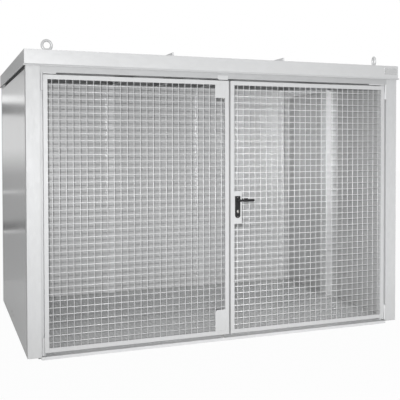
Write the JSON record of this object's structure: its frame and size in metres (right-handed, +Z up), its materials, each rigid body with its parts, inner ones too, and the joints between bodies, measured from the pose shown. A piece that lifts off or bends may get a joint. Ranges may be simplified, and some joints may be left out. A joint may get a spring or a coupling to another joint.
{
  "type": "gas cylinder container",
  "caption": "Walk-in steel store with closed walls on three sides, flat roof with lifting eyes, low floor and wire mesh double door with lock and bolts.",
  "frame": {"origin": "on the ground under the middle of the plan, on the lower face of the middle floor joist", "axes": "+X to the right seen from the door side, along the long side; +Y to the closed rear wall; +Z up"},
  "size_m": [3.136, 2.122, 2.3],
  "materials": {
    "galvanised_frame": "galvanised folded steel, matt",
    "galvanised_wall": "galvanised sheet, satin",
    "galvanised_roof": "galvanised sheet, matt",
    "galvanised_wire": "galvanised welded wire",
    "floor_plate": "galvanised tread plate",
    "eye_steel": "zinc plated",
    "plate": "blank satin plate",
    "nickel": "nickel plated",
    "black_plastic": "black nylon"
  },
  "bodies": {
    "container": {"front_sill": "galvanised_frame", "rear_sill": "galvanised_frame", "side_base_beams": "galvanised_frame", "floor_joists": "galvanised_frame", "floor_plate": "floor_plate", "base_rim": "galvanised_frame", "front_left_post": "galvanised_frame", "front_right_post": "galvanised_frame", "rear_left_post": "galvanised_frame", "rear_right_post": "galvanised_frame", "left_wall_front": "galvanised_wall", "left_wall_rear": "galvanised_wall", "right_wall_front": "galvanised_wall", "right_wall_rear": "galvanised_wall", "rear_wall_left": "galvanised_wall", "rear_wall_middle": "galvanised_wall", "rear_wall_right": "galvanised_wall", "side_wall_posts": "galvanised_frame", "rear_wall_posts": "galvanised_frame", "front_header": "galvanised_frame", "rear_top_beam": "galvanised_frame", "side_top_beams": "galvanised_frame", "roof_beams": "galvanised_frame", "roof_deck": "galvanised_roof", "roof_seams": "galvanised_roof", "front_fascia": "galvanised_roof", "rear_fascia": "galvanised_roof", "left_fascia": "galvanised_roof", "right_fascia": "galvanised_roof", "lifting_eyes": "eye_steel", "blank_plate": "plate", "header_keepers": "galvanised_frame", "post_hinges": "galvanised_frame", "slot_strips": "galvanised_wall"},
    "left_leaf": {"left_leaf_hinge_stile": "galvanised_frame", "left_leaf_meeting_stile": "galvanised_frame", "left_leaf_rails": "galvanised_frame", "left_leaf_hinges": "galvanised_frame", "left_leaf_mesh_lower": "galvanised_wire", "left_leaf_mesh_middle": "galvanised_wire", "left_leaf_mesh_upper": "galvanised_wire", "bolt_cover_plates": "galvanised_wall", "bolt_guides": "galvanised_frame"},
    "right_leaf": {"right_leaf_hinge_stile": "galvanised_frame", "right_leaf_meeting_stile": "galvanised_frame", "right_leaf_rails": "galvanised_frame", "right_leaf_hinges": "galvanised_frame", "right_leaf_mesh_lower": "galvanised_wire", "right_leaf_mesh_middle": "galvanised_wire", "right_leaf_mesh_upper": "galvanised_wire", "lock_box": "galvanised_wall", "escutcheon": "black_plastic", "key_cylinder": "nickel", "inner_lock_cover": "black_plastic"},
    "lever": {"lever_handles": "black_plastic"},
    "upper_bolt": {"upper_bolt": "eye_steel", "upper_bolt_grip": "black_plastic"},
    "lower_bolt": {"lower_bolt": "eye_steel", "lower_bolt_grip": "black_plastic"}
  },
  "joints": [
    {"name": "left_door_hinge", "type": "hinge", "parent": "container", "child": "left_leaf", "pos_m": [-1.44, -1.03, 1], "axis": [0, 0, -1], "range_deg": [0, 170]},
    {"name": "right_door_hinge", "type": "hinge", "parent": "container", "child": "right_leaf", "pos_m": [1.44, -1.03, 1], "axis": [0, 0, 1], "range_deg": [0, 170]},
    {"name": "lever_turn", "type": "hinge", "parent": "right_leaf", "child": "lever", "pos_m": [0.0645, -1.025, 1.101], "axis": [0, 1, 0], "range_deg": [0, 45], "stiffness_Nm_per_rad": 1, "springref_deg": -34.38},
    {"name": "upper_bolt_slide", "type": "slide", "parent": "left_leaf", "child": "upper_bolt", "axis": [0, 0, -1], "range_m": [-0.025, 0.03]},
    {"name": "lower_bolt_slide", "type": "slide", "parent": "left_leaf", "child": "lower_bolt", "axis": [0, 0, 1], "range_m": [-0.02, 0.03]}
  ]
}
